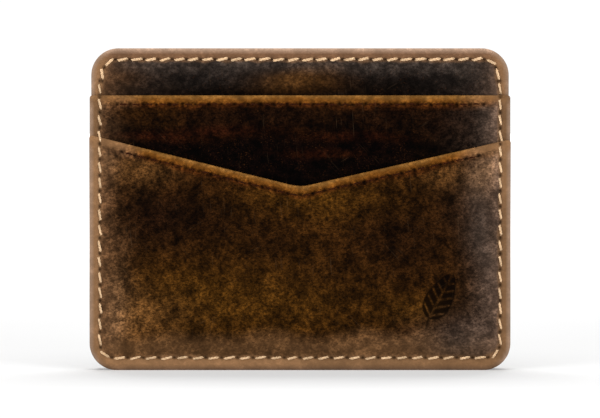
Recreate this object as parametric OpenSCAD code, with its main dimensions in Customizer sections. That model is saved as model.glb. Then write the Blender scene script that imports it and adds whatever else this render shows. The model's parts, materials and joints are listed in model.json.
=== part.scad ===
// Slim leather card wallet, 6 mm thick and sewn round its edge. Two body panels have an open
// pocket between them. Each side carries two more pockets: an upper one with a straight mouth,
// and in front of it one with a V mouth. Every leather panel has a lining of its own.
// The wallet stands on its bottom edge: X runs across it, Z up, and the front faces -Y.

/* [Body] */
// Width of the two body panels
body_w = 99.1; // [95:0.1:105]
// Height of the body panels, and so of the wallet
body_h = 76.4; // [73:0.1:85]
// Radius of the outline's corners
corner_r = 6.4; // [4.5:0.1:8]

/* [Pockets] */
// Width of the upper pockets, which stand a little proud of the body panels
upper_pocket_w = 99.8; // [95:0.1:105]
// Width of the V pockets, the widest pieces
v_pocket_w = 100; // [95:0.1:106]
// Height of the upper pocket's straight mouth above the bottom edge
upper_mouth_z = 65.3; // [60:0.1:68]
// Height of the V mouth where it meets the left side
v_left_z = 56; // [50:0.1:58]
// Height of the V mouth where it meets the right side
v_right_z = 54.9; // [50:0.1:58]
// Height at which the two slopes of the V mouth meet
v_point_z = 43.6; // [38:0.1:48]
// Radius that rounds the point of the V
v_point_r = 10; // [2:0.5:16]

/* [Mark] */
// Height of the plain leaf pressed into the front V pocket
mark_h = 12; // [6:0.5:14]
// Tilt of the leaf to the right
mark_tilt = 28; // [0:1:60]

/* [Layers] */
// Thickness of the leather
leather_t = 0.8; // [0.75:0.05:1.2]
// Thickness of the lining cloth behind each leather panel
lining_t = 0.15; // [0.1:0.05:0.3]
// Space between one lined panel and the next, where a card goes in
leaf_gap = 0.05; // [0.02:0.01:0.2]
// How far a lining stays inside its panel's sides and bottom
lining_inset = 0.6; // [0.2:0.1:1.5]
// How far a lining stays below its panel's top edge or mouth
lining_drop = 1.2; // [0.5:0.1:2]

/* [Stitching] */
// Diameter of the cream seam thread
seam_thread_d = 0.64; // [0.4:0.02:0.7]
// Diameter of the dark thread along the mouths
mouth_thread_d = 0.4; // [0.3:0.02:0.6]
// Length of a seam stitch that shows
seam_stitch_l = 2.5; // [1.5:0.1:2.8]
// Length of a mouth stitch that shows
mouth_stitch_l = 2.1; // [1.2:0.1:2.3]
// Spacing of the stitches in the seam round the sides and bottom
seam_pitch = 3.7; // [3.2:0.02:4.5]
// Spacing of the stitches in the top seam
top_pitch = 3.34; // [3.2:0.02:4.5]
// Spacing of the stitches along the mouths
mouth_pitch = 3.1; // [2.6:0.1:4]
// Distance of the edge seam from the sides of the V pockets
side_inset = 2.5; // [2:0.1:4]
// Distance of the edge seam from the bottom edge
bottom_inset = 2.95; // [2:0.05:4]
// Distance of the top seam from the body panel's sides and top edge
top_inset = 2.6; // [2:0.1:4]
// Distance of the mouth stitching from the edge of its mouth
mouth_inset = 2.1; // [1.5:0.1:3]
// Angle of each seam stitch across its seam
slant = 11; // [0:1:20]

/* [Hidden] */
$fn = 64;

leather_brown = [0.25, 0.14, 0.07];
lining_brown = [0.13, 0.08, 0.06];
cream = [0.88, 0.76, 0.58];
dark_brown = [0.15, 0.07, 0.04];

// A leaf is a panel with its lining. Each side of the wallet has three, counted from outside.
V_LEAF = 0;
UPPER_LEAF = 1;
BODY_LEAF = 2;
leaves = 3;
leaf_t = leather_t + lining_t;
half_t = leaves * (leaf_t + leaf_gap) - leaf_gap / 2;

// The edge seam runs down the sides and along the bottom, and the top seam closes the rest.
edge_half_w = v_pocket_w / 2 - side_inset;
edge_corner_r = 3.5;
top_half_w = body_w / 2 - top_inset;
top_corner_r = 3.8;
// How far the edge seam reaches above the upper mouth, and how far the top seam turns down.
seam_rise = 3.4;
top_leg = 5.2;
// The mouth stitching stops this far from the seam.
mouth_end = 1.8;
// A thread's middle lies this far under the leather's face, in a groove with some room.
thread_sink = 0.12;
groove_room = 0.04;
// The pressed leaf: its depth, its width over its height, and its middle.
mark_depth = 0.15;
mark_slimness = 0.5;
mark_x = 33.4;
mark_z = 17.6;
over = 1;

function face_y(leaf) = -half_t + leaf * (leaf_t + leaf_gap);

// Height of the V mouth at x. An arc rounds its point, and its two slopes differ a little.
v_left_slope = atan((v_left_z - v_point_z) / (v_pocket_w / 2));
v_right_slope = atan((v_right_z - v_point_z) / (v_pocket_w / 2));
v_spread = 1 + cos(v_left_slope + v_right_slope);
v_arc_x = v_point_r * (sin(v_left_slope) - sin(v_right_slope)) / v_spread;
v_arc_z = v_point_z + v_point_r * (cos(v_left_slope) + cos(v_right_slope)) / v_spread;
v_arc_from = v_arc_x - v_point_r * sin(v_left_slope);
v_arc_to = v_arc_x + v_point_r * sin(v_right_slope);
function v_slope(x) = x < 0 ? v_left_slope : v_right_slope;
function v_mouth_z(x) =
    x > v_arc_from && x < v_arc_to
        ? v_arc_z - sqrt(v_point_r * v_point_r - (x - v_arc_x) * (x - v_arc_x))
        : v_point_z + abs(x) * tan(v_slope(x));

// A point [x, z, heading] at distance s along a U that stands on z = 0: down its left leg,
// along its foot and up its right leg.
function u_length(leg, half_w, r) = 2 * (leg - r) + PI * r + 2 * (half_w - r);
function u_point(s, leg, half_w, r) =
    let (
        corner = r * PI / 2,
        past_leg = s - (leg - r),
        past_corner = past_leg - corner,
        past_foot = past_corner - 2 * (half_w - r),
        past_right_corner = past_foot - corner
    )
    past_leg < 0 ? [-half_w, leg - s, -90]
    : past_corner < 0 ? arc_point(r - half_w, r, 180 + 90 * past_leg / corner)
    : past_foot < 0 ? [r - half_w + past_corner, 0, 0]
    : past_right_corner < 0 ? arc_point(half_w - r, r, 270 + 90 * past_foot / corner)
    : [half_w, r + past_right_corner, 90];
function arc_point(x, r, turn) = [x + r * cos(turn), r + r * sin(turn), turn + 90];

// Stitches are [x, z, angle]. As many as fit share a U evenly.
function u_stitches(pitch, leg, half_w, r) =
    let (
        run = u_length(leg, half_w, r),
        count = floor(run / pitch)
    )
    [for (i = [0.5 : count]) u_point(i * run / count, leg, half_w, r)];
edge_leg = upper_mouth_z + seam_rise - bottom_inset;
edge_stitches = [for (p = u_stitches(seam_pitch, edge_leg, edge_half_w, edge_corner_r))
    [p.x, bottom_inset + p.y, p.z + slant]];
// The top seam is a U turned upside down.
top_stitches = [for (p = u_stitches(top_pitch, top_leg, top_half_w, top_corner_r))
    [-p.x, body_h - top_inset - p.y, p.z + slant]];

// Stitches along a mouth are counted from its middle to each side.
mouth_count = floor((edge_half_w - mouth_end) / mouth_pitch);
mouth_run = [for (i = [0.5 - mouth_count : mouth_count]) i * mouth_pitch];
straight_mouth_stitches = [for (s = mouth_run) [s, upper_mouth_z - mouth_inset, 0]];
v_mouth_stitches = [for (s = mouth_run)
    let (x = s * cos(v_slope(s)))
    [x, v_mouth_z(x) - mouth_inset / cos(v_slope(s)), sign(s) * v_slope(s)]];

// A stitch of the edge seam is on the panel that its middle is over.
seam_on_v = [for (s = edge_stitches) if (s.y <= v_mouth_z(s.x)) s];
seam_on_upper = [for (s = edge_stitches) if (s.y > v_mouth_z(s.x) && s.y <= upper_mouth_z) s];
seam_on_body = [for (s = edge_stitches) if (s.y > upper_mouth_z) s];

// A flat outline with round bottom corners, and round or square top corners.
module outline(w, h, round_top = false) {
    translate([-w / 2, corner_r])
        square([w, h - (round_top ? 2 : 1) * corner_r]);
    translate([corner_r - w / 2, 0])
        square([w - 2 * corner_r, h]);
    for (side = [-1, 1], z = round_top ? [corner_r, h - corner_r] : [corner_r])
        translate([side * (w / 2 - corner_r), z])
            circle(corner_r);
}

// Everything under the V mouth's edge.
module under_v_mouth() {
    arc_steps = 12;
    half = v_pocket_w / 2 + over;
    polygon(concat(
        [[-half, -over], [-half, v_mouth_z(-half)]],
        [for (i = [0 : arc_steps])
            let (x = v_arc_from + i / arc_steps * (v_arc_to - v_arc_from))
            [x, v_mouth_z(x)]],
        [[half, v_mouth_z(half)], [half, -over]]));
}

module body_outline() { outline(body_w, body_h, true); }
module upper_outline() { outline(upper_pocket_w, upper_mouth_z); }
module v_outline() {
    intersection() {
        outline(v_pocket_w, v_left_z + over);
        under_v_mouth();
    }
}

module body_lining_outline() {
    translate([0, lining_inset])
        outline(body_w - 2 * lining_inset, body_h - lining_inset - lining_drop, true);
}
module upper_lining_outline() {
    translate([0, lining_inset])
        outline(upper_pocket_w - 2 * lining_inset, upper_mouth_z - lining_inset - lining_drop);
}
module v_lining_outline() {
    intersection() {
        translate([0, lining_inset])
            outline(v_pocket_w - 2 * lining_inset, v_left_z + over);
        translate([0, -lining_drop])
            under_v_mouth();
    }
}

// Two arcs that meet at the leaf's tips.
module mark_outline() {
    half_h = mark_h / 2;
    half_w = half_h * mark_slimness;
    r = (half_h * half_h + half_w * half_w) / (2 * half_w);
    translate([mark_x, mark_z])
        rotate(-mark_tilt)
            intersection_for(side = [-1, 1])
                translate([side * (r - half_w), 0])
                    circle(r);
}

// Stands a flat outline up, t thick and with its front face at y.
module upright(y, t) {
    translate([0, y + t, 0])
        rotate([90, 0, 0])
            linear_extrude(t)
                children();
}

module leather(leaf) { upright(face_y(leaf), leather_t) children(); }
module lining(leaf) { color(lining_brown) upright(face_y(leaf) + leather_t, lining_t) children(); }

// Lays a straight rod along each stitch of a leaf.
module threads(leaf, stitches, d, l) {
    for (s = stitches)
        translate([s.x, face_y(leaf) + thread_sink, s.y])
            rotate([0, 90 - s.z, 0])
                cylinder(d = d, h = l, center = true);
}

// A groove is round, and wide enough to be open at the leather's face.
module grooves(leaf, stitches, d, l) {
    threads(leaf, stitches, d + 2 * groove_room, l + 2 * groove_room);
}
module seam_grooves(leaf, stitches) { grooves(leaf, stitches, seam_thread_d, seam_stitch_l); }
module mouth_grooves(leaf, stitches) { grooves(leaf, stitches, mouth_thread_d, mouth_stitch_l); }

module v_pocket_panel(marked) {
    color(leather_brown)
        difference() {
            leather(V_LEAF) v_outline();
            seam_grooves(V_LEAF, seam_on_v);
            mouth_grooves(V_LEAF, v_mouth_stitches);
            if (marked)
                upright(face_y(V_LEAF) - over, over + mark_depth) mark_outline();
        }
}
module upper_pocket_panel() {
    color(leather_brown)
        difference() {
            leather(UPPER_LEAF) upper_outline();
            seam_grooves(UPPER_LEAF, seam_on_upper);
            mouth_grooves(UPPER_LEAF, straight_mouth_stitches);
        }
}
module body_panel() {
    color(leather_brown)
        difference() {
            leather(BODY_LEAF) body_outline();
            seam_grooves(BODY_LEAF, seam_on_body);
            seam_grooves(BODY_LEAF, top_stitches);
        }
}
module v_mouth_thread() {
    color(dark_brown) threads(V_LEAF, v_mouth_stitches, mouth_thread_d, mouth_stitch_l);
}
module upper_mouth_thread() {
    color(dark_brown) threads(UPPER_LEAF, straight_mouth_stitches, mouth_thread_d, mouth_stitch_l);
}
module top_thread() {
    color(cream) threads(BODY_LEAF, top_stitches, seam_thread_d, seam_stitch_l);
}
module seam_thread() {
    color(cream) {
        threads(V_LEAF, seam_on_v, seam_thread_d, seam_stitch_l);
        threads(UPPER_LEAF, seam_on_upper, seam_thread_d, seam_stitch_l);
        threads(BODY_LEAF, seam_on_body, seam_thread_d, seam_stitch_l);
    }
}

// The back is the front's mirror image.
module back() { mirror([0, 1, 0]) children(); }

module front_v_pocket_panel() { v_pocket_panel(marked = true); }
module front_v_pocket_lining() { lining(V_LEAF) v_lining_outline(); }
module front_v_mouth_thread() { v_mouth_thread(); }
module front_upper_pocket_panel() { upper_pocket_panel(); }
module front_upper_pocket_lining() { lining(UPPER_LEAF) upper_lining_outline(); }
module front_upper_mouth_thread() { upper_mouth_thread(); }
module front_body_panel() { body_panel(); }
module front_body_lining() { lining(BODY_LEAF) body_lining_outline(); }
module front_top_thread() { top_thread(); }
module front_seam_thread() { seam_thread(); }

module back_v_pocket_panel() { back() v_pocket_panel(marked = false); }
module back_v_pocket_lining() { back() front_v_pocket_lining(); }
module back_v_mouth_thread() { back() v_mouth_thread(); }
module back_upper_pocket_panel() { back() upper_pocket_panel(); }
module back_upper_pocket_lining() { back() front_upper_pocket_lining(); }
module back_upper_mouth_thread() { back() upper_mouth_thread(); }
module back_body_panel() { back() body_panel(); }
module back_body_lining() { back() front_body_lining(); }
module back_top_thread() { back() top_thread(); }
module back_seam_thread() { back() seam_thread(); }

front_v_pocket_panel();
front_v_pocket_lining();
front_v_mouth_thread();
front_upper_pocket_panel();
front_upper_pocket_lining();
front_upper_mouth_thread();
front_body_panel();
front_body_lining();
front_top_thread();
front_seam_thread();
back_v_pocket_panel();
back_v_pocket_lining();
back_v_mouth_thread();
back_upper_pocket_panel();
back_upper_pocket_lining();
back_upper_mouth_thread();
back_body_panel();
back_body_lining();
back_top_thread();
back_seam_thread();
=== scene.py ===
"""Looks of the slim leather card wallet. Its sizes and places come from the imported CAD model.

Lengths are millimetres until a mesh is made, and metres from then on. The wallet stands on
z = 0, x runs across it, and its front faces -y.
"""

import json
import math
from dataclasses import dataclass, replace
from functools import lru_cache

import bpy
import numpy as np
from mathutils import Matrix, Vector, geometry

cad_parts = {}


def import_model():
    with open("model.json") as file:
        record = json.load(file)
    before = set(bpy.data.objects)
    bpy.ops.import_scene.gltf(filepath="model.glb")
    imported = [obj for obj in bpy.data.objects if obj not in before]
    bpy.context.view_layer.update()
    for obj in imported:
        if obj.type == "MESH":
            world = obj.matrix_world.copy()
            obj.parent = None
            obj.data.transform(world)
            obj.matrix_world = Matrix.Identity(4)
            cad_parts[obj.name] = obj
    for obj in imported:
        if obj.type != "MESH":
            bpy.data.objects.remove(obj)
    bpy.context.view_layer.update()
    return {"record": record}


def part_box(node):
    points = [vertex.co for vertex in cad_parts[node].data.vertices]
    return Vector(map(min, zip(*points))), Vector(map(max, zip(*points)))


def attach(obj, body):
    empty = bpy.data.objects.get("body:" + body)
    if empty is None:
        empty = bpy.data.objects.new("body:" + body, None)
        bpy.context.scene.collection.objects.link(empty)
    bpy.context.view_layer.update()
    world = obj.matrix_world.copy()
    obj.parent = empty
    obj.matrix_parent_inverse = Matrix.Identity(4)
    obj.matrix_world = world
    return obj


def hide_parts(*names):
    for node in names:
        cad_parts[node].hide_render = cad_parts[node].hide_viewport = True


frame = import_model()

MM = 0.001
SIDES = {"front": -1, "back": 1}
# The part of a CAD node's name that stands for each shape.
PART = {"body": "body", "upper": "upper_pocket", "v": "v_pocket"}
rng = np.random.default_rng(7)


# ---- Sizes ------------------------------------------------------------------------------


@lru_cache
def box_mm(node):
    low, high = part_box(node)
    return np.array(low) / MM, np.array(high) / MM


def mount_mm(name):
    mounts = {m["name"]: m for m in frame["record"]["mounts"]}
    return np.array(mounts[name]["pos_m"]) / MM


body_low, body_high = box_mm("front_body_panel")
upper_low, upper_high = box_mm("front_upper_pocket_panel")
v_low, v_high = box_mm("front_v_pocket_panel")

BODY_W = body_high[0] - body_low[0]
BODY_H = body_high[2]
UPPER_W = upper_high[0] - upper_low[0]
UPPER_Z = upper_high[2]
V_W = v_high[0] - v_low[0]
V_LEFT_Z = v_high[2]
V_POINT_Z = mount_mm("front_v_pocket")[2]
LEATHER = body_high[1] - body_low[1]

# The frame doesn't hold the sizes below, so they repeat the CAD model's.
V_RIGHT_Z = 54.9
V_POINT_R = 10
CORNER_R, MOUTH_CORNER_R = 6.4, 0.7
SIDE_INSET, TOP_INSET, MOUTH_INSET = 2.5, 2.6, 2.1
EDGE_HALF_W, TOP_HALF_W = V_W / 2 - SIDE_INSET, BODY_W / 2 - TOP_INSET
EDGE_LOW, TOP_HIGH = 2.95, BODY_H - TOP_INSET
EDGE_CORNER_R, TOP_CORNER_R = 3.5, 3.8
SEAM_RISE = 3.4
EDGE_LEG, TOP_LEG = UPPER_Z + SEAM_RISE - EDGE_LOW, 5.2
EDGE_PITCH, TOP_PITCH, MOUTH_PITCH = 3.7, 3.34, 3.1
MOUTH_END = 1.8
LINING_INSET, LINING_DROP = 0.6, 1.2

# Between these heights the edge seam leans in to meet the top seam.
LEAN_FROM, LEAN_TO = 65, 69.5

# The V mouth's two slopes, and the arc that rounds its point.
V_LEFT_SLOPE = math.atan((V_LEFT_Z - V_POINT_Z) / (V_W / 2))
V_RIGHT_SLOPE = math.atan((V_RIGHT_Z - V_POINT_Z) / (V_W / 2))
V_SPREAD = 1 + math.cos(V_LEFT_SLOPE + V_RIGHT_SLOPE)
V_ARC_X = V_POINT_R * (math.sin(V_LEFT_SLOPE) - math.sin(V_RIGHT_SLOPE)) / V_SPREAD
V_ARC_Z = V_POINT_Z + V_POINT_R * (math.cos(V_LEFT_SLOPE) + math.cos(V_RIGHT_SLOPE)) / V_SPREAD


# ---- Small helpers ----------------------------------------------------------------------


def smooth(low, high, value):
    """0 below low and 1 above high, with a soft change between. low may be above high."""
    t = np.clip((value - low) / (high - low), 0, 1)
    return t * t * (3 - 2 * t)


def bump(value, width):
    """1 where value is 0, falling to 0 over about twice the width on each side."""
    return np.exp(-((value / width) ** 2))


NOISE_CELLS = 256
# Added to every seed, so that none is negative.
FIRST_SEED = 100


def wander(x, z, size, seed):
    """Smooth noise from -1 to 1 over the xz plane, with patches about size across."""
    cells = np.random.default_rng(seed + FIRST_SEED).uniform(-1, 1, (NOISE_CELLS, NOISE_CELLS))
    u, w = np.asarray(x) / size + NOISE_CELLS / 2, np.asarray(z) / size + NOISE_CELLS / 4
    i, j = np.floor(u).astype(int), np.floor(w).astype(int)
    a, b = u - i, w - j
    a, b = a * a * (3 - 2 * a), b * b * (3 - 2 * b)
    i, j = i % (NOISE_CELLS - 1), j % (NOISE_CELLS - 1)
    low = cells[i, j] * (1 - a) + cells[i + 1, j] * a
    high = cells[i, j + 1] * (1 - a) + cells[i + 1, j + 1] * a
    return low * (1 - b) + high * b


def linear(color):
    """A colour from 0 to 255 as a screen shows it, in the renderer's linear values."""
    c = np.asarray(color, float) / 255
    return np.where(c <= 0.04045, c / 12.92, ((c + 0.055) / 1.055) ** 2.4)


def make_object(name, vertices, faces, material):
    """A smooth-shaded mesh object. Its vertices come in millimetres."""
    mesh = bpy.data.meshes.new(name)
    mesh.from_pydata([tuple(v) for v in np.asarray(vertices) * MM], [], faces)
    mesh.validate()
    mesh.materials.append(material)
    mesh.polygons.foreach_set("use_smooth", [True] * len(mesh.polygons))
    mesh.update()
    piece = bpy.data.objects.new(name, mesh)
    bpy.context.scene.collection.objects.link(piece)
    return piece


def stand_for(piece, node):
    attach(piece, "root")
    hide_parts(node)


def reversed_faces(faces):
    return [tuple(reversed(face)) for face in faces]


# ---- Shapes in the xz plane -------------------------------------------------------------


def v_slope(x):
    return np.where(np.asarray(x) < 0, V_LEFT_SLOPE, V_RIGHT_SLOPE)


def v_mouth(x):
    """Height of the V mouth's edge."""
    from_arc = np.asarray(x) - V_ARC_X
    arc = V_ARC_Z - np.sqrt(np.maximum(V_POINT_R**2 - from_arc**2, 0))
    on_arc = (from_arc > -V_POINT_R * math.sin(V_LEFT_SLOPE)) & (
        from_arc < V_POINT_R * math.sin(V_RIGHT_SLOPE)
    )
    return np.where(on_arc, arc, V_POINT_Z + np.abs(x) * np.tan(v_slope(x)))


def inside_rounded(x, z, half_w, low, high, r):
    """Distance inside a rounded rectangle's edge, negative outside it."""
    qx = np.abs(x) - (half_w - r)
    qz = np.abs(z - (low + high) / 2) - ((high - low) / 2 - r)
    outside = np.hypot(np.maximum(qx, 0), np.maximum(qz, 0))
    return r - outside - np.minimum(np.maximum(qx, qz), 0)


def inside_seam(x, z):
    """Distance inside the edge seam and the top seam, taken as one rounded rectangle."""
    half_w = EDGE_HALF_W + (TOP_HALF_W - EDGE_HALF_W) * smooth(LEAN_FROM, LEAN_TO, z)
    return inside_rounded(
        x * EDGE_HALF_W / half_w, z, EDGE_HALF_W, EDGE_LOW, TOP_HIGH, EDGE_CORNER_R
    )


@dataclass
class Shape:
    """A panel's cut. Each corner is (x, z, radius), counter-clockwise from the lower left.

    The mouth is "none", "straight" or "v".
    """

    name: str
    width: float
    top: float
    corners: list
    mouth: str

    def below_mouth(self, x, z):
        """Distance below the mouth's edge, or below the top edge of a body panel."""
        if self.mouth == "v":
            return (v_mouth(x) - z) * np.cos(v_slope(x))
        return self.top - z

    def inside_cut(self, x, z):
        """Distance inside the cut edges, which are all but the turned mouth."""
        high = self.top if self.mouth == "none" else 2 * self.top
        return inside_rounded(x, z, self.width / 2, 0, high, CORNER_R)

    def inside(self, x, z):
        return np.minimum(self.inside_cut(x, z), self.below_mouth(x, z))


def bottom_corners(width):
    return [(-width / 2, 0, CORNER_R), (width / 2, 0, CORNER_R)]


BODY = Shape(
    "body",
    BODY_W,
    BODY_H,
    bottom_corners(BODY_W) + [(BODY_W / 2, BODY_H, CORNER_R), (-BODY_W / 2, BODY_H, CORNER_R)],
    "none",
)
UPPER = Shape(
    "upper",
    UPPER_W,
    UPPER_Z,
    bottom_corners(UPPER_W)
    + [(UPPER_W / 2, UPPER_Z, MOUTH_CORNER_R), (-UPPER_W / 2, UPPER_Z, MOUTH_CORNER_R)],
    "straight",
)
V = Shape(
    "v",
    V_W,
    V_LEFT_Z,
    bottom_corners(V_W)
    + [
        (V_W / 2, V_RIGHT_Z, MOUTH_CORNER_R),
        (0, V_POINT_Z, V_POINT_R),
        (-V_W / 2, V_LEFT_Z, MOUTH_CORNER_R),
    ],
    "v",
)


# The smallest radius that a corner keeps when its outline moves in.
LEAST_R = 0.05


def outline(shape, inset, spacing=0.5):
    """The cut's edge as a closed loop, moved in by inset. The count of points stays the same."""
    corners = np.array([c[:2] for c in shape.corners], float)
    radii = [c[2] for c in shape.corners]
    n = len(corners)
    ahead = [corners[(i + 1) % n] - corners[i] for i in range(n)]
    lengths = [np.linalg.norm(a) for a in ahead]
    ahead = [a / length for a, length in zip(ahead, lengths)]
    inward = [np.array([-a[1], a[0]]) for a in ahead]
    arcs = []
    for i in range(n):
        before, after = inward[i - 1], inward[i]
        turn = ahead[i - 1][0] * ahead[i][1] - ahead[i - 1][1] * ahead[i][0]
        # Every corner juts out but the V's point, whose arc has its centre outside the cut.
        side = 1 if turn > 0 else -1
        bisector = (before + after) / (1 + before @ after)
        r = max(radii[i] - side * inset, LEAST_R)
        centre = corners[i] + bisector * (inset + side * r)
        first = math.atan2(*(-side * before)[::-1])
        last = math.atan2(*(-side * after)[::-1])
        sweep = (last - first + math.pi) % (2 * math.pi) - math.pi
        steps = max(4, round(abs(sweep) * radii[i] / spacing))
        angles = first + sweep * np.linspace(0, 1, steps + 1)
        arcs.append(centre + r * np.stack([np.cos(angles), np.sin(angles)], 1))
    points = []
    for i in range(n):
        start, end = arcs[i][-1], arcs[(i + 1) % n][0]
        steps = max(2, round(lengths[i] / spacing))
        share = np.linspace(0, 1, steps + 1)[1:-1, None]
        points += [arcs[i], start + (end - start) * share]
    return np.concatenate(points)


# ---- Stitch runs ------------------------------------------------------------------------


def u_point(s, leg, half_w, r):
    """Point and heading at distance s along a U on z = 0: down, along and up again."""
    corner = r * math.pi / 2
    foot = 2 * (half_w - r)
    s -= leg - r
    if s < 0:
        return -half_w, r - s, -math.pi / 2
    if s < corner:
        turn = math.pi + s / r
        return r - half_w + r * math.cos(turn), r + r * math.sin(turn), turn + math.pi / 2
    s -= corner
    if s < foot:
        return r - half_w + s, 0.0, 0.0
    s -= foot
    if s < corner:
        turn = 1.5 * math.pi + s / r
        return half_w - r + r * math.cos(turn), r + r * math.sin(turn), turn + math.pi / 2
    return half_w, r + s - corner, math.pi / 2


def u_run(leg, half_w, r, pitch):
    """Points and headings of a U's stitches, and of the needle holes between them."""
    length = 2 * (leg - r) + math.pi * r + 2 * (half_w - r)
    count = math.floor(length / pitch)
    stitches = [u_point((i + 0.5) * length / count, leg, half_w, r) for i in range(count)]
    holes = [u_point(i * length / count, leg, half_w, r) for i in range(count + 1)]
    return np.array(stitches), np.array(holes)


def edge_run():
    """Stitches and holes of the seam round the sides and the bottom."""
    stitches, holes = u_run(EDGE_LEG, EDGE_HALF_W, EDGE_CORNER_R, EDGE_PITCH)
    shift = np.array([0, EDGE_LOW, 0])
    return stitches + shift, holes + shift


def top_run():
    """Stitches and holes of the seam along the top, whose U stands on its head."""
    stitches, holes = u_run(TOP_LEG, TOP_HALF_W, TOP_CORNER_R, TOP_PITCH)
    flip = np.array([-1, -1, 1])
    shift = np.array([0, TOP_HIGH, math.pi])
    return stitches * flip + shift, holes * flip + shift


def mouth_run(shape):
    """Stitches and holes of the seam under a pocket's mouth."""
    count = math.floor((EDGE_HALF_W - MOUTH_END) / MOUTH_PITCH)
    runs = []
    for first in (0.5 - count, -count):
        s = np.arange(first, count + 0.6) * MOUTH_PITCH
        s = s[np.abs(s) <= count * MOUTH_PITCH + 0.01]
        if shape.mouth == "v":
            x = s * np.cos(v_slope(s))
            z = v_mouth(x) - MOUTH_INSET / np.cos(v_slope(s))
            heading = np.sign(s) * v_slope(s)
        else:
            x, z, heading = s, np.full_like(s, shape.top - MOUTH_INSET), 0 * s
        runs.append(np.stack([x, z, heading], 1))
    return runs


EDGE_STITCHES, EDGE_HOLES = edge_run()
TOP_STITCHES, TOP_HOLES = top_run()
SEAM_HOLES = np.concatenate([EDGE_HOLES, TOP_HOLES])


# At this squared distance, in a hole's half sizes, the hole no longer shows.
FAR = 9.0


def near_holes(x, z, holes, along, across):
    """1 at a needle hole and 0 away from one. The holes are ovals along their headings."""
    nearest = np.full(np.shape(x), FAR)
    for hx, hz, heading in holes:
        dx, dz = x - hx, z - hz
        a = (dx * math.cos(heading) + dz * math.sin(heading)) / along
        b = (dz * math.cos(heading) - dx * math.sin(heading)) / across
        nearest = np.minimum(nearest, a * a + b * b)
    return np.exp(-nearest)


# ---- The pressed leaf -------------------------------------------------------------------

LEAF_X, LEAF_Z = 33.4, 17.6
LEAF_H = 12
LEAF_TILT = math.radians(28)
# The leaf's half width over its height, and how much wider it is low down.
LEAF_SHARE, LEAF_TAPER = 0.27, 0.28
# The midrib and the veins fade from the first of these distances to the second. The veins'
# are shares of their pitch.
MIDRIB, VEIN = (0.1, 0.32), (0.06, 0.2)
VEIN_PITCH, VEIN_LEAN = 2.1, 0.75
STALK_L, STALK_BEND, STALK_HALF_W = 2.2, 0.12, 0.28


def pressed_leaf(x, z):
    """How deep the leaf is pressed, from 0 to 1. Its midrib and veins stay raised."""
    dx, dz = x - LEAF_X, z - LEAF_Z
    across = dx * math.cos(LEAF_TILT) - dz * math.sin(LEAF_TILT)
    along = dx * math.sin(LEAF_TILT) + dz * math.cos(LEAF_TILT)
    t = along / (LEAF_H / 2)
    half_w = LEAF_SHARE * LEAF_H * np.sqrt(np.clip(1 - t**2, 0, 1)) * (1 - LEAF_TAPER * t)
    blade = smooth(-0.1, 0.22, half_w - np.abs(across)) * (np.abs(t) < 1)
    midrib = 1 - smooth(*MIDRIB, np.abs(across))
    vein_phase = (along - VEIN_LEAN * np.abs(across)) / VEIN_PITCH % 1
    veins = 1 - smooth(*VEIN, np.abs(vein_phase - 0.5))
    veins *= smooth(0.3, 0.6, half_w - np.abs(across))
    foot = -LEAF_H / 2
    stalk = bump(across - STALK_BEND * (along - foot) ** 2, STALK_HALF_W)
    stalk *= smooth(foot - STALK_L, foot - STALK_L + 0.5, along) * (along < foot + 0.3)
    return np.clip(np.maximum(blade * (1 - np.maximum(midrib, veins)), stalk), 0, 1)


# ---- Leather: how it bows, its relief and its colour ------------------------------------

# How far each panel bows out between the seams, and how far its mouth stands open.
BOW = {"body": 0.15, "upper": 0.34, "v": 0.58}
GAPE = {"body": 0.0, "upper": 0.14, "v": 0.34}
# How far in from the seam the bow is full, and how far down from the mouth the gape reaches.
BOW_REACH, GAPE_REACH = 15, 18
LIP_W = 2.4
# Depths of what is pressed into the leather, and heights of what stands out of it.
SEAM_DENT, EDGE_DENT, SEAM_HOLE_DENT = 0.15, 0.24, 0.45
CREASE_DENT, MOUTH_HOLE_DENT, LEAF_DENT = 0.1, 0.25, 0.17
LIP_RISE, WAVE_RISE, RIPPLE_RISE = 0.2, 0.05, 0.025


def bow(shape, x, z):
    """How far a panel stands out from its flat place."""
    # A pocket isn't held by the top stitches, so it bows right up to its mouth.
    held = inside_seam(x, z)
    if shape.mouth != "none":
        held = inside_rounded(x, z, EDGE_HALF_W, EDGE_LOW, 3 * BODY_H, EDGE_CORNER_R)
    out = BOW[shape.name] * smooth(0, BOW_REACH, held)
    across = np.clip(1 - (x / EDGE_HALF_W) ** 2, 0, 1)
    return out + GAPE[shape.name] * across * smooth(GAPE_REACH, 0, shape.below_mouth(x, z))


def lip(shape, x, z):
    """1 on the turned lip of a mouth, fading out before the seams."""
    roll = np.sin(np.pi * np.clip((shape.below_mouth(x, z) + 0.5) / LIP_W, 0, 1)) ** 0.7
    return roll * smooth(EDGE_HALF_W + 0.4, EDGE_HALF_W - 2.5, np.abs(x))


def relief(shape, side, x, z):
    """Height of the leather's outer face over its bowed place."""
    h = -SEAM_DENT * bump(np.abs(inside_seam(x, z)), 0.7)
    h -= EDGE_DENT * bump(shape.inside_cut(x, z), 0.9)
    h -= SEAM_HOLE_DENT * near_holes(x, z, SEAM_HOLES, 0.46, 0.3)
    h += WAVE_RISE * wander(x, z, 9, 1 + side) + RIPPLE_RISE * wander(x, z, 2.6, 4 + side)
    if shape.mouth != "none":
        crease = shape.below_mouth(x, z) - MOUTH_INSET
        unseamed = smooth(EDGE_HALF_W, EDGE_HALF_W - 2, np.abs(x))
        h += LIP_RISE * lip(shape, x, z)
        h -= CREASE_DENT * bump(crease, 0.4) * unseamed
        h -= MOUTH_HOLE_DENT * near_holes(x, z, mouth_run(shape)[1], 0.34, 0.28)
    if shape is V and side < 0:
        h -= LEAF_DENT * pressed_leaf(x, z)
    return h


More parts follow.
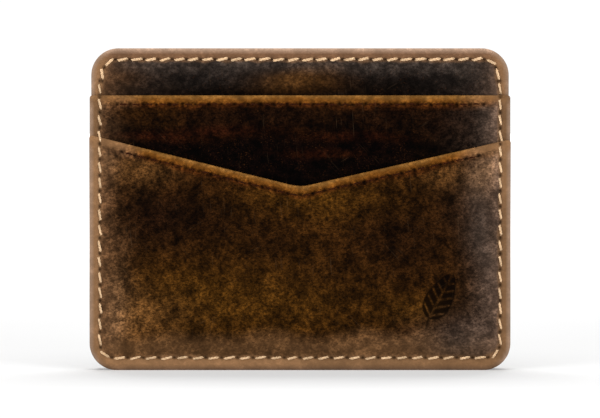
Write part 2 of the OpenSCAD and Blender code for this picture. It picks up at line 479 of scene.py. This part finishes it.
# Colours from 0 to 255. The paint's are as they look once lit, and LIT is how much the
# studio's light brightens them.
LIT = 1.27
BORDER = (143, 106, 73)
# Painted shade by the top seam's groove, a painted highlight on the top rim, the side rims' raw edge
# with painted light on it, and painted shade on the bottom rim, which faces down.
SHADED_BORDER_TOP = (112, 80, 58)
RIM_TOP_HIGHLIGHT = (192, 160, 136)
RAW_AND_LIT_RIM_SIDE = (162, 136, 116)
RIM_LOW_SHADE = (104, 80, 62)
LIP = (130, 89, 41)
LIP_LOW = (112, 66, 18)
ROLL = (76, 38, 11)
# Lighter leather low on the V pocket: worn, with painted light on it.
WORN_AND_LIT = (98, 69, 43)
# Lighter leather beside the side seams: rubbed pull-up leather with painted light from the white
# studio on it.
RUBBED_AND_LIT_LEFT = (101, 71, 47)
RUBBED_AND_LIT_RIGHT = (114, 90, 74)
TAN = (106, 70, 34)
UMBER = (45, 24, 5)
RUST = (68, 41, 8)
BARK = (22, 9, 3)
EMBER = (46, 17, 6)
PITCH = (6, 2, 0)
# A painted sheen: the grey reflection of the studio's lights on the dark leather.
PAINTED_SHEEN = (60, 51, 45)
COAL = (28, 23, 20)
FLECK = (92, 54, 25)
SCRATCH = (118, 92, 66)
CLOTH_DARK, CLOTH_LIGHT = (24, 16, 12), (66, 46, 34)


@dataclass
class Patch:
    """A soft patch of another colour, with its middle, half sizes and strength."""

    color: tuple
    x: float
    z: float
    half_w: float
    half_h: float
    strength: float


PATCHES = {
    "v": [
        Patch(RUST, -22, 17, 20, 8, 0.85),
        Patch(TAN, -36, 13, 8, 4, 0.55),
        Patch(BARK, -33, 36, 12, 8, 1.0),
        Patch(BARK, -20, 36, 8, 4, 0.5),
        Patch(BARK, -7, 30, 5, 3, 0.5),
        Patch(RUST, 7, 41, 14, 4, 0.9),
        Patch(RUST, 0, 14, 18, 5, 0.5),
        Patch(BARK, 25, 31, 11, 8, 0.7),
        Patch(RUST, 28, 14, 6, 3, 0.7),
        Patch(PAINTED_SHEEN, 45, 28, 4, 22, 0.8),
        Patch(PAINTED_SHEEN, 38, 7, 7, 5, 0.7),
        Patch(TAN, -42, 13, 6, 6, 0.5),
        Patch(BORDER, -47, 13, 3.5, 8, 0.5),
        Patch(BARK, 36, 40, 5, 6, 0.5),
        Patch(TAN, -37, 48, 6, 3, 0.4),
        Patch(BORDER, -46, 51, 3, 4, 0.7),
        Patch(TAN, 36, 47, 5, 3, 0.35),
        Patch(BORDER, 46, 49, 3, 4, 0.8),
    ],
    "upper": [
        Patch(BARK, 0, 60.5, 42, 3, 0.9),
        Patch(UMBER, -37, 61.5, 7, 1.6, 0.8),
        Patch(UMBER, 8, 61.8, 5, 2, 0.3),
        Patch(BARK, 33, 58, 7, 3, 0.7),
        Patch(PAINTED_SHEEN, 44.5, 59, 3.5, 6, 0.7),
        Patch(EMBER, -33, 55.2, 9, 0.8, 0.55),
        Patch(EMBER, -17, 57, 9, 0.9, 0.45),
        Patch(EMBER, 14, 55.5, 9, 0.9, 0.45),
        Patch(EMBER, 6, 51.5, 7, 0.8, 0.5),
        Patch(UMBER, -32, 58.6, 6, 0.8, 0.4),
    ],
    "body": [
        # The first two patches are the dark band just above the upper pocket's mouth: the leather's
        # own dark, deepened with a painted shadow line.
        Patch(PITCH, -5, 66, 36, 2.4, 0.95),
        Patch(PITCH, 22, 68, 10, 2.5, 0.6),
        Patch(UMBER, 1, 69, 8, 3, 0.9),
        Patch(TAN, -1, 69, 7, 2, 0.4),
        Patch(TAN, 6, 72, 4, 1.3, 0.6),
        Patch(UMBER, -41, 70.5, 3, 2, 0.5),
        Patch(PAINTED_SHEEN, 42, 71, 3, 2, 0.3),
    ],
}
BASE = {"v": UMBER, "upper": PITCH, "body": COAL}
# How far the lighter leather beside the left and the right seam reaches in: it is rubbed, with
# painted light on it.
RUBBED_AND_LIT_IN = {"v": (2.6, 2.3), "upper": (1.8, 2.8), "body": (4.2, 2.4)}


@dataclass
class Coat:
    """The paint on a panel's points: its colour in linear values, and how much grain it shows."""

    shape: Shape
    side: int
    x: np.ndarray
    z: np.ndarray

    def __post_init__(self):
        self.color = np.ones((len(self.x), 1)) * linear(BASE[self.shape.name])
        # Seen from behind, the back's patches, wear and painted light lie in about the same places as
        # the front's.
        self.px = -self.side * self.x

    def mix(self, other, amount):
        self.color = self.color + (linear(other) - self.color) * np.clip(amount, 0, 1)[:, None]

    def shade(self, factor):
        self.color = self.color * factor[:, None]

    def wander(self, size, seed):
        return wander(self.x, self.z, size, seed)


def paint_patches(coat):
    """The V pocket's lighter strip low down, worn and with painted light, and the patches, of which
    the grey ones are a painted sheen. Returns where the grain is plain.
    """
    plain = np.zeros(len(coat.x))
    shift_x = 2.5 * coat.wander(11, 20 + coat.side)
    shift_z = 1.0 * coat.wander(9, 24 + coat.side)
    if coat.shape is V:
        # The V pocket is lighter low down: worn, with painted light on it.
        low_worn_and_lit = 0.95 * smooth(10.5, 5.5, coat.z + 1.2 * coat.wander(5, 33))
        coat.mix(WORN_AND_LIT, low_worn_and_lit)
        plain = 0.9 * low_worn_and_lit
    for p in PATCHES[coat.shape.name]:
        from_x, from_z = coat.px + shift_x - p.x, coat.z + shift_z - p.z
        amount = p.strength * np.exp(-0.7 * ((from_x / p.half_w) ** 2 + (from_z / p.half_h) ** 2))
        coat.mix(p.color, amount)
        # The grain is plain under the painted sheen.
        if p.color == PAINTED_SHEEN:
            plain = np.maximum(plain, amount)
    # A painted sheen lies along the body's top seam.
    if coat.shape is BODY:
        coat.mix(PAINTED_SHEEN, 0.9 * smooth(4.6, 0.4, TOP_HIGH - coat.z + 0.5 * coat.wander(4, 35)))
    return plain


def paint_rubbed_and_lit(coat):
    """The lighter leather beside the side seams, rubbed and with painted light on it, and a cloudy
    shade. Returns where it lies.
    """
    reach = np.where(coat.px < 0, *RUBBED_AND_LIT_IN[coat.shape.name])
    reach = reach * (1 + 0.3 * coat.wander(6, 38 + coat.side))
    half_w = TOP_HALF_W if coat.shape is BODY else EDGE_HALF_W
    rubbed_and_lit = 0.95 * np.exp(-np.clip(half_w - np.abs(coat.x), 0, 99) / reach)
    coat.mix(RUBBED_AND_LIT_LEFT, rubbed_and_lit * (coat.px < 0))
    coat.mix(RUBBED_AND_LIT_RIGHT, rubbed_and_lit * (coat.px >= 0))
    coat.shade(1 + 0.18 * coat.wander(6, 40 + coat.side) + 0.22 * coat.wander(2.4, 44 + coat.side))
    return rubbed_and_lit


def paint_border(coat):
    """The tan strip between the seams and the cut edges, with painted light and shade on it and on
    its rims. Returns where it is.
    """
    seam = inside_seam(coat.x, coat.z)
    border = smooth(0.9, -0.2, seam + 0.35 * coat.wander(2.5, 30 + coat.side))
    coat.mix(BORDER, 0.95 * border)
    # It is darker beside the upper pocket, and low down at the right.
    dull = np.full(len(coat.x), 0.3 if coat.shape is UPPER else 0.0)
    if coat.shape is V:
        dull = (coat.px > 0) * (0.2 * smooth(46, 38, coat.z) + 0.14 * bump(coat.z - 30, 7))
    coat.shade(1 - dull * border)
    cut, from_middle = coat.shape.inside_cut(coat.x, coat.z), np.abs(coat.x)
    rim = smooth(1.2, 0.1, cut) * border
    high = smooth(BODY_H - 5, BODY_H - 1, coat.z)
    high = high * smooth(EDGE_HALF_W + 1, EDGE_HALF_W - 3, from_middle)
    low = smooth(5, 1, coat.z) * smooth(EDGE_HALF_W + 1.5, EDGE_HALF_W - 2, from_middle)
    # Painted light on the strip: shade into the top seam's groove, a highlight on the top rim, light
    # on the side rims' raw edge, more light low down where the lamps reach less, and shade on the
    # bottom rim, which faces down.
    coat.mix(SHADED_BORDER_TOP, 0.8 * border * high)
    coat.mix(RAW_AND_LIT_RIM_SIDE, 0.8 * rim * (1 - high) * (1 - low))
    coat.mix(RIM_TOP_HIGHLIGHT, 0.9 * rim * high)
    coat.shade(1 + 0.2 * low * border)
    coat.mix(RIM_LOW_SHADE, 0.8 * smooth(1.3, 0.3, cut) * low * border)
    streaks = 0.1 * coat.wander(3.5, 48 + coat.side) + 0.1 * coat.wander(1.3, 52 + coat.side)
    coat.shade(1 + streaks * border)
    return border


def paint_mouth(coat, border):
    """The turned lip, with the darker leather below it. Returns how far it hides the grain."""
    below, from_middle = coat.shape.below_mouth(coat.x, coat.z), np.abs(coat.x)
    ragged = below + 0.3 * coat.wander(1.5, 36 + coat.side) + 0.3 * coat.wander(9, 37 + coat.side)
    unseamed = smooth(EDGE_HALF_W + 1, EDGE_HALF_W - 4, from_middle)
    coat.mix(ROLL, 0.9 * smooth(3.3, 2.0, ragged) * unseamed)
    coat.mix(LIP, 0.95 * smooth(2.1, 0.7, ragged) * (0.3 + 0.7 * unseamed))
    coat.mix(LIP_LOW, 0.75 * smooth(0.3, 1.1, ragged) * smooth(2.4, 1.4, ragged) * unseamed)
    ends = smooth(36, 43, from_middle) * smooth(3.6, 1.2, ragged)
    coat.mix(BORDER, (0.75 if coat.shape is V else 0.4) * ends)
    coat.shade(1 + 0.22 * coat.wander(1.1, 56 + coat.side) * smooth(3.4, 0.6, below))
    return 0.6 * smooth(2.0, 1.0, below) * (1 - border)


def painted_shade_and_leaf(coat):
    """The painted shade in the needle holes and in the crease under a mouth, and how dark the pressed
    leaf is.
    """
    x, z = coat.x, coat.z
    dark = 0.88 * near_holes(x, z, SEAM_HOLES, 0.54, 0.36)
    if coat.shape.mouth != "none":
        dark = np.maximum(dark, 0.97 * near_holes(x, z, mouth_run(coat.shape)[1], 0.66, 0.5))
        crease = bump(coat.shape.below_mouth(x, z) - MOUTH_INSET, 0.45)
        dark = np.maximum(dark, 0.3 * crease * smooth(EDGE_HALF_W, EDGE_HALF_W - 3, np.abs(x)))
    if coat.shape is V and coat.side < 0:
        dark = np.maximum(dark, 0.84 * pressed_leaf(x, z))
    return dark


def paint(shape, side, x, z):
    """The leather's colour before its grain, in linear values, and how much grain it shows."""
    coat = Coat(shape, side, x, z)
    plain = paint_patches(coat)
    rubbed_and_lit = paint_rubbed_and_lit(coat)
    border = paint_border(coat)
    grain = (1 - 0.6 * np.maximum(rubbed_and_lit, plain)) * (1 - 0.75 * border)
    if shape is BODY:
        grain = 0.7 * grain
    if shape.mouth != "none":
        grain = grain - paint_mouth(coat, border)
    if shape is V and side < 0:
        grain = grain * (1 - 0.8 * pressed_leaf(x, z))
    # Painted shade in the needle holes and the crease, and the pressed leaf's darker colour.
    coat.shade(1 - painted_shade_and_leaf(coat))
    return np.clip(coat.color / LIT, 0.0003, 1), np.clip(grain, 0.1, 1)


# ---- Panel meshes -----------------------------------------------------------------------

# Mesh spacing away from the details and at them. The first is a multiple of the second.
COARSE, FINE = 0.75, 0.25
# The radius of a panel's worn edge.
RIM_R = 0.34

# The inner face is hidden, so its points lie further apart.
INNER_STEP = 3.0


def lattice(shape, inset, detailed):
    """Points inside a panel's cut: a coarse grid, with a fine one at the details."""
    step = FINE if detailed else INNER_STEP
    xs = np.arange(-math.ceil(shape.width / 2 / COARSE) * COARSE, shape.width / 2, step)
    zs = np.arange(0, shape.top, step)
    x, z = (a.ravel() for a in np.meshgrid(xs, zs))
    keep = shape.inside(x, z) > inset + (0.2 if detailed else 1.0)
    if detailed:
        per = round(COARSE / FINE)
        coarse = (np.rint(x / FINE) % per == 0) & (np.rint(z / FINE) % per == 0)
        near = np.abs(inside_seam(x, z)) < 1.1
        if shape.mouth != "none":
            near |= shape.below_mouth(x, z) < MOUTH_INSET + 0.7
        if shape is V:
            near |= np.hypot(x - LEAF_X, z - LEAF_Z) < LEAF_H / 2 + 2
        keep &= coarse | near
    return np.stack([x, z], 1)[keep]


def fill(loop, inner):
    """Triangles that fill a closed loop, with points inside it. The loop's points come first."""
    count = len(loop)
    points = [Vector(p) for p in np.concatenate([loop, inner])]
    edges = [(i, (i + 1) % count) for i in range(count)]
    made = geometry.delaunay_2d_cdt(points, edges, [], 1, 1e-5)
    origin = [min(o) if o else -1 for o in made[3]]
    return [tuple(origin[i] for i in face) for face in made[2]]


def rim_section():
    """A panel's edge in section: (distance in from the cut, depth under the outer face)."""
    arc = np.radians([90, 60, 35, 12])
    inset = RIM_R * (1 - np.cos(arc))
    depth = RIM_R * (1 - np.sin(arc))
    outer = list(zip(inset, depth))
    return outer + [(i, LEATHER - d) for i, d in reversed(outer)]


def panel_faces(loops, outer, inner):
    """Faces of a closed panel. Its points are the rim's loops, the outer and the inner face's."""
    count = len(loops[0])
    faces = []
    for ring in range(len(loops) - 1):
        a, b = ring * count, (ring + 1) * count
        for i in range(count):
            j = (i + 1) % count
            faces.append((a + i, b + i, b + j, a + j))
    last_loop = (len(loops) - 1) * count
    outer_at = len(loops) * count
    inner_at = outer_at + len(outer)

    def filled(loop, loop_at, points, points_at):
        for face in fill(loop, points):
            yield tuple(loop_at + i if i < count else points_at + i - count for i in face)

    faces += filled(loops[0], 0, outer, outer_at)
    faces += reversed_faces(filled(loops[-1], last_loop, inner, inner_at))
    return faces


def panel(side_name, shape, node, material):
    """A leather panel with a rounded cut edge, its relief and its paint."""
    side = SIDES[side_name]
    low, high = box_mm(node)
    face = low[1] if side < 0 else high[1]
    section = rim_section()
    loops = [outline(shape, inset) for inset, _ in section]
    outer = lattice(shape, section[0][0], True)
    inner = lattice(shape, section[-1][0], False)
    depths = [np.full(len(loops[0]), d) for _, d in section]
    depth = np.concatenate(depths + [np.zeros(len(outer)), np.full(len(inner), LEATHER)])
    x, z = np.concatenate(loops + [outer, inner]).T
    outward = bow(shape, x, z) + relief(shape, side, x, z) * (1 - depth / LEATHER)
    y = face - side * depth + side * outward
    faces = panel_faces(loops, outer, inner)
    if side > 0:
        faces = reversed_faces(faces)
    name = f"{side_name}_{shape.name}_leather"
    piece = make_object(name, np.stack([x, y, z], 1), faces, material)
    color, grain = paint(shape, side, x, z)
    color = np.concatenate([color, grain[:, None]], 1)
    attribute = piece.data.color_attributes.new("paint", "FLOAT_COLOR", "POINT")
    attribute.data.foreach_set("color", color.astype(np.float32).ravel())
    stand_for(piece, node)


# ---- Materials --------------------------------------------------------------------------


class Nodes:
    """A material's node tree, with short calls that return sockets."""

    def __init__(self, name):
        self.material = bpy.data.materials.new(name)
        self.material.use_nodes = True
        self.tree = self.material.node_tree
        self.shader = self.tree.nodes["Principled BSDF"]

    def add(self, kind, inputs=None, **settings):
        node = self.tree.nodes.new(kind)
        for key, value in settings.items():
            setattr(node, key, value)
        for key, value in (inputs or {}).items():
            if isinstance(value, bpy.types.NodeSocket):
                self.tree.links.new(value, node.inputs[key])
            else:
                node.inputs[key].default_value = value
        return node

    def set(self, **values):
        for key, value in values.items():
            name = key.replace("_", " ")
            if isinstance(value, bpy.types.NodeSocket):
                self.tree.links.new(value, self.shader.inputs[name])
            else:
                self.shader.inputs[name].default_value = value

    def position(self, scale=(1, 1, 1), turn=0.0):
        """Place on the object in millimetres, turned in the xz plane and then scaled."""
        place = self.add("ShaderNodeTexCoord").outputs["Object"]
        turned = self.add(
            "ShaderNodeMapping",
            {"Vector": place, "Rotation": (0, turn, 0), "Scale": (1 / MM,) * 3},
            vector_type="POINT",
        )
        stretched = self.add(
            "ShaderNodeMapping", {"Vector": turned.outputs[0], "Scale": scale}, vector_type="POINT"
        )
        return stretched.outputs[0]

    def noise(self, vector, scale, detail, rough):
        inputs = {"Vector": vector, "Scale": scale, "Detail": detail, "Roughness": rough}
        return self.add("ShaderNodeTexNoise", inputs).outputs["Fac"]

    def ramp(self, value, low, high, out_low=0.0, out_high=1.0):
        ends = {"From Min": low, "From Max": high, "To Min": out_low, "To Max": out_high}
        node = self.add(
            "ShaderNodeMapRange", {"Value": value, **ends}, interpolation_type="SMOOTHSTEP"
        )
        return node.outputs["Result"]

    def math(self, operation, a, b):
        return self.add("ShaderNodeMath", {0: a, 1: b}, operation=operation).outputs[0]

    def times(self, a, b):
        return self.math("MULTIPLY", a, b)

    def mix(self, amount, a, b, blend="MIX"):
        node = self.add("ShaderNodeMix", data_type="RGBA", blend_type=blend)
        for index, value in ((0, amount), (6, a), (7, b)):
            if isinstance(value, bpy.types.NodeSocket):
                self.tree.links.new(value, node.inputs[index])
            else:
                node.inputs[index].default_value = value
        return node.outputs[2]

    def grey(self, value):
        return self.add("ShaderNodeCombineColor", {0: value, 1: value, 2: value}).outputs[0]

    def bump(self, height, distance, strength):
        node = self.add(
            "ShaderNodeBump", {"Height": height, "Distance": distance * MM, "Strength": strength}
        )
        return node.outputs["Normal"]


def screen(color):
    """A screen colour as the linear RGBA that a socket takes."""
    return (*linear(color), 1)


def scratch_mask(n):
    """Light hairlines in three directions, each kind in its own places."""
    scratches = None
    for turn, rarity in ((0.06, 0.48), (0.75, 0.56), (-1.05, 0.57)):
        along, around = n.position((3.0, 0.2, 0.14), turn), n.position((1, 0.2, 1), turn)
        lines = n.noise(along, scale=1.0, detail=2, rough=0.5)
        places = n.noise(around, scale=0.09, detail=2, rough=0.5)
        mask = n.times(n.ramp(lines, 0.64, 0.76), n.ramp(places, rarity, rarity + 0.12))
        scratches = mask if scratches is None else n.math("MAXIMUM", scratches, mask)
    return scratches


def leather_material():
    n = Nodes("pull_up_leather")
    across = n.position(scale=(0.8, 0.3, 1.15))
    flat = n.position(scale=(1, 0.3, 1), turn=0.6)
    paint_node = n.add("ShaderNodeVertexColor", layer_name="paint")
    painted, grain = paint_node.outputs["Color"], paint_node.outputs["Alpha"]
    fibres = n.noise(across, scale=1.9, detail=3, rough=0.7)
    nap = n.noise(flat, scale=0.75, detail=2, rough=0.6)
    mottle = n.noise(flat, scale=0.3, detail=4, rough=0.65)
    pores = n.noise(flat, scale=3.0, detail=1, rough=0.5)
    # Fibres, nap, mottling and pores darken and lighten the paint where the grain shows.
    tone = n.times(n.ramp(fibres, 0.3, 0.7, 0.35, 1.65), n.ramp(nap, 0.3, 0.7, 0.5, 1.5))
    tone = n.times(tone, n.ramp(mottle, 0.3, 0.7, 0.4, 1.6))
    tone = n.times(tone, n.ramp(pores, 0.25, 0.45, 0.75, 1.05))
    tone = n.mix(grain, (1, 1, 1, 1), n.grey(tone))
    color = n.mix(1.0, painted, tone, "MULTIPLY")
    # Flecks of lighter nap lie on it.
    flecks = n.ramp(n.noise(across, scale=2.8, detail=2, rough=0.6), 0.56, 0.74)
    flecks = n.times(n.times(flecks, grain), n.ramp(mottle, 0.42, 0.62))
    color = n.mix(n.times(flecks, 0.3), color, screen(FLECK))
    scratches = scratch_mask(n)
    color = n.mix(n.times(scratches, 0.1), color, screen(SCRATCH))
    creases = n.add(
        "ShaderNodeTexVoronoi", {"Vector": flat, "Scale": 1.5}, feature="DISTANCE_TO_EDGE"
    ).outputs["Distance"]
    height = n.math("ADD", n.ramp(creases, 0.0, 0.25, 0.0, 0.4), n.times(fibres, 0.9))
    height = n.math("SUBTRACT", height, n.times(scratches, 0.3))
    n.set(
        Base_Color=color,
        Roughness=n.ramp(mottle, 0.3, 0.7, 0.5, 0.66),
        IOR=1.4,
        Specular_IOR_Level=0.02,
        Normal=n.bump(height, distance=0.06, strength=0.7),
    )
    return n.material


def thread_material(name, light, dark):
    n = Nodes(name)
    fibres = n.noise(n.position(), scale=6.0, detail=3, rough=0.6)
    shade = n.noise(n.position(), scale=0.5, detail=2, rough=0.5)
    base = n.mix(n.ramp(fibres, 0.3, 0.7), screen(dark), screen(light))
    base = n.mix(1.0, base, n.grey(n.ramp(shade, 0.3, 0.7, 0.82, 1.1)), "MULTIPLY")
    normal = n.bump(fibres, distance=0.05, strength=0.6)
    n.set(Base_Color=base, Roughness=0.6, Specular_IOR_Level=0.05, Normal=normal)
    return n.material


def lining_material():
    n = Nodes("woven_lining")
    waves = []
    for turn in (0.0, math.pi / 2):
        inputs = {"Vector": n.position(turn=turn), "Scale": 0.55, "Distortion": 0.6, "Detail": 2.0}
        waves.append(n.add("ShaderNodeTexWave", inputs, bands_direction="X").outputs["Fac"])
    weave = n.times(*waves)
    tint = n.noise(n.position(), scale=0.2, detail=3, rough=0.5)
    base = n.mix(weave, screen(CLOTH_DARK), screen(CLOTH_LIGHT))
    base = n.mix(1.0, base, n.grey(n.ramp(tint, 0.3, 0.7, 0.8, 1.15)), "MULTIPLY")
    n.set(Base_Color=base, Roughness=0.85, Normal=n.bump(weave, distance=0.04, strength=0.7))
    return n.material


# ---- Linings ----------------------------------------------------------------------------

# Spacing of a lining's points along its edge and inside it, and how far in the latter start.
LINING_EDGE_STEP, LINING_STEP, LINING_MARGIN = 1.5, 2.0, 3.2
LINING_REACH = 48


def lining_shape(shape):
    """The panel's shape, cut back at its edges and further at its mouth."""
    drop = LINING_DROP / (math.cos(V_LEFT_SLOPE) if shape.mouth == "v" else 1)
    corners = []
    for x, z, r in shape.corners:
        x -= math.copysign(LINING_INSET, x) if x else 0
        corners.append((x, z + LINING_INSET if z == 0 else z - drop, r))
    width = shape.width - 2 * LINING_INSET
    return Shape(shape.name, width, shape.top - drop, corners, shape.mouth)


def lining(side_name, shape, node, material):
    """A closed sheet of cloth that lies against its leather and bows with it."""
    side = SIDES[side_name]
    low, high = box_mm(node)
    thickness = high[1] - low[1]
    loop = outline(lining_shape(shape), 0, spacing=LINING_EDGE_STEP)
    xs = np.arange(-LINING_REACH, LINING_REACH + 1, LINING_STEP)
    zs = np.arange(LINING_STEP, shape.top, LINING_STEP)
    x, z = (a.ravel() for a in np.meshgrid(xs, zs))
    inner = np.stack([x, z], 1)[shape.inside(x, z) > LINING_MARGIN]
    x, z = np.concatenate([loop, inner]).T
    count, total = len(loop), len(x)
    triangles = fill(loop, inner)
    faces = list(triangles)
    faces += [tuple(total + i for i in face) for face in reversed_faces(triangles)]
    faces += [(i, total + i, total + (i + 1) % count, (i + 1) % count) for i in range(count)]
    out = side * bow(shape, x, z)
    sheets = [np.stack([x, y + out, z], 1) for y in (low[1], low[1] + thickness)]
    piece = make_object(f"{side_name}_{shape.name}_cloth", np.concatenate(sheets), faces, material)
    stand_for(piece, node)


# ---- Threads ----------------------------------------------------------------------------


@dataclass
class Thread:
    """A kind of thread, with the length, lean and rise of its stitches."""

    slot: str
    material: bpy.types.Material
    radius: float
    strands: int
    stitch: float
    slant: float
    rise: float


# Twists per millimetre of a thread, and how flat it is pulled.
TWISTS, FLATNESS = 0.42, 0.8
STITCH_POINTS, STRAND_SIDES = 13, 6
# How much one stitch differs from the next.
TURN_SPREAD, PLACE_SPREAD = math.radians(2.2), 0.05
LENGTH_RANGE, RADIUS_RANGE = (0.94, 1.05), (0.94, 1.06)
# How far the leather's face lies under its bowed place along a seam.
SEAM_SUNK = 0.1
# How many radii deep a stitch's ends dive into its holes.
DIVE = 1.8


def covering_shape(x, z):
    """The outermost panel at x, z."""
    for shape in (V, UPPER):
        if shape.inside(x, z) > 0:
            return shape
    return BODY


def outer_height(side_name, x, z):
    """How far the outermost leather at x, z stands out from the wallet's middle."""
    shape = covering_shape(x, z)
    low, high = box_mm(f"{side_name}_{PART[shape.name]}_panel")
    face = -low[1] if side_name == "front" else high[1]
    return face + float(bow(shape, np.array([x]), np.array([z]))[0]) - SEAM_SUNK


def rope(line, radius, strands, twists):
    """Vertices and faces of twisted strands that follow a line of [x, out, z] points."""
    strand_r = radius / (1 + 1 / math.sin(math.pi / strands))
    orbit = radius - strand_r
    ahead = np.gradient(line, axis=0)
    ahead /= np.linalg.norm(ahead, axis=1)[:, None]
    across = np.cross(ahead, np.array([0.0, 1.0, 0.0]))
    across /= np.linalg.norm(across, axis=1)[:, None]
    up = FLATNESS * np.cross(across, ahead)
    share = np.linspace(0, 1, len(line))
    first_phase = rng.uniform(0, 2 * math.pi)
    sides = STRAND_SIDES
    angles = 2 * math.pi * np.arange(sides) / sides
    vertices, faces = [], []
    for k in range(strands):
        phase = first_phase + 2 * math.pi * (k / strands + twists * share)
        centre = line + orbit * (np.cos(phase)[:, None] * across + np.sin(phase)[:, None] * up)
        base = len(vertices)
        for c, right, outward in zip(centre, across, up):
            vertices += [c + strand_r * (math.cos(a) * right + math.sin(a) * outward) for a in angles]
        last = base + (len(line) - 1) * sides
        for a in range(base, last, sides):
            b = a + sides
            faces += [(a + j, a + (j + 1) % sides, b + (j + 1) % sides, b + j) for j in range(sides)]
        faces.append(tuple(base + j for j in reversed(range(sides))))
        faces.append(tuple(last + j for j in range(sides)))
    return vertices, faces


def stitched(name, side_name, node, thread, stitches):
    """A run of stitches. Each is a short arched rope whose ends dive into the leather."""
    side = SIDES[side_name]
    vertices, faces = [], []
    share = np.linspace(-1, 1, STITCH_POINTS)
    dive = DIVE * thread.radius
    for x, z, heading in stitches:
        turn = heading + thread.slant + rng.normal(0, TURN_SPREAD)
        half = thread.stitch / 2 * rng.uniform(*LENGTH_RANGE)
        x, z = x + rng.normal(0, PLACE_SPREAD), z + rng.normal(0, PLACE_SPREAD)
        xs, zs = x + share * half * math.cos(turn), z + share * half * math.sin(turn)
        base = np.array([outer_height(side_name, a, b) for a, b in zip(xs, zs)])
        base = np.convolve(np.pad(base, 2, mode="edge"), np.ones(5) / 5, "valid")
        arch = 1 - np.abs(share) ** 4
        line = np.stack([xs, base + (thread.rise + dive) * arch - dive, zs], 1)
        radius = thread.radius * rng.uniform(*RADIUS_RANGE)
        new_vertices, new_faces = rope(line, radius, thread.strands, thread.stitch * TWISTS)
        faces += [tuple(i + len(vertices) for i in face) for face in new_faces]
        vertices += [(p[0], side * p[1], p[2]) for p in new_vertices]
    if side > 0:
        faces = reversed_faces(faces)
    piece = make_object(name, vertices, faces, thread.material)
    stand_for(piece, node)


# ---- Stage ------------------------------------------------------------------------------

# The stage's lengths are metres, apart from the floor's, and its lights' powers are watts.
CAMERA_DISTANCE = 1.2
CAMERA_ELEVATION = math.radians(3)
# The share of the picture's width that the body takes up.
BODY_SHARE = 0.694667
LIGHTS_AIM = (0, 0, 0.04)
LIGHTS = [
    ("top_light", (0, -0.25, 0.9), (1.0, 0.6), 3.9),
    ("left_light", (-0.8, -0.8, 0.3), (0.5, 0.5), 6),
    ("right_light", (0.8, -0.8, 0.3), (0.5, 0.5), 6),
    ("back_light", (0, 0.5, 1.15), (1.0, 0.5), 9.5),
]
# How bright the studio is as the camera sees it, and as the light that falls on the wallet.
SEEN_GLOW, FILL_GLOW = 1.05, 0.3
# The floor's glow near the wallet and away from it, and where it begins and ends to change.
FLOOR_GLOW, FLOOR_CHANGE = (0.22, 1.05), (0.15, 0.6)
FLOOR_HALF_MM = 1500


def camera():
    data = bpy.data.cameras.new("camera")
    data.sensor_width = 36
    data.lens = data.sensor_width * CAMERA_DISTANCE / (BODY_W * MM / BODY_SHARE)
    data.clip_end = 20
    piece = bpy.data.objects.new("camera", data)
    away = Vector((0, -math.cos(CAMERA_ELEVATION), math.sin(CAMERA_ELEVATION))) * CAMERA_DISTANCE
    piece.location = Vector((0, 0, BODY_H * MM / 2)) + away
    piece.rotation_euler = (-away).to_track_quat("-Z", "Y").to_euler()
    bpy.context.scene.collection.objects.link(piece)
    bpy.context.scene.camera = piece


def world():
    scene_world = bpy.data.worlds.new("studio")
    bpy.context.scene.world = scene_world
    scene_world.use_nodes = True
    tree = scene_world.node_tree
    background = tree.nodes["Background"]
    background.inputs["Color"].default_value = (1, 1, 1, 1)
    # The camera sees a white studio, and the wallet is lit by a dimmer one.
    path = tree.nodes.new("ShaderNodeLightPath")
    strength = tree.nodes.new("ShaderNodeMapRange")
    strength.inputs["To Min"].default_value = FILL_GLOW
    strength.inputs["To Max"].default_value = SEEN_GLOW
    tree.links.new(path.outputs["Is Camera Ray"], strength.inputs["Value"])
    tree.links.new(strength.outputs["Result"], background.inputs["Strength"])


def lights():
    for name, place, size, power in LIGHTS:
        data = bpy.data.lights.new(name, "AREA")
        data.shape = "RECTANGLE"
        data.size, data.size_y = size
        data.energy = power
        light = bpy.data.objects.new(name, data)
        light.location = place
        ray = Vector(LIGHTS_AIM) - Vector(place)
        light.rotation_euler = ray.to_track_quat("-Z", "Y").to_euler()
        bpy.context.scene.collection.objects.link(light)


def floor():
    n = Nodes("white_floor")
    # It glows more away from the wallet, where the lights no longer reach.
    metres = n.position(scale=(MM,) * 3)
    away = n.add("ShaderNodeVectorMath", {0: metres}, operation="LENGTH").outputs["Value"]
    n.set(
        Base_Color=(0.6, 0.6, 0.6, 1),
        Roughness=0.9,
        Specular_IOR_Level=0.0,
        Emission_Color=(1, 1, 1, 1),
        Emission_Strength=n.ramp(away, *FLOOR_CHANGE, *FLOOR_GLOW),
    )
    half = FLOOR_HALF_MM
    corners = [(-half, -half, 0), (half, -half, 0), (half, half, 0), (-half, half, 0)]
    make_object("floor", corners, [(0, 1, 2, 3)], n.material)


# ---- Build ------------------------------------------------------------------------------

bpy.context.scene.view_settings.view_transform = "Standard"
camera()
world()
lights()
floor()

leather = leather_material()
cloth = lining_material()
cream = thread_material("cream_thread", light=(244, 211, 172), dark=(186, 150, 108))
brown = thread_material("brown_thread", light=(64, 27, 8), dark=(24, 8, 2))

edge_thread = Thread(
    "seam_thread", cream, radius=0.29, strands=3, stitch=2.65, slant=math.radians(11), rise=0.17
)
top_thread = replace(edge_thread, radius=0.34)
mouth_thread = Thread("mouth_thread", brown, radius=0.2, strands=2, stitch=2.1, slant=0, rise=0.05)

for side_name in SIDES:
    for shape in (BODY, UPPER, V):
        part = PART[shape.name]
        panel(side_name, shape, f"{side_name}_{part}_panel", leather)
        lining(side_name, shape, f"{side_name}_{part}_lining", cloth)
    runs = [(f"{shape.name}_mouth", mouth_run(shape)[0], mouth_thread) for shape in (UPPER, V)]
    runs += [("seam", EDGE_STITCHES, edge_thread), ("top", TOP_STITCHES, top_thread)]
    for run, stitches, thread in runs:
        name, node = f"{side_name}_{run}_stitches", f"{side_name}_{run}_thread"
        stitched(name, side_name, node, thread, stitches)
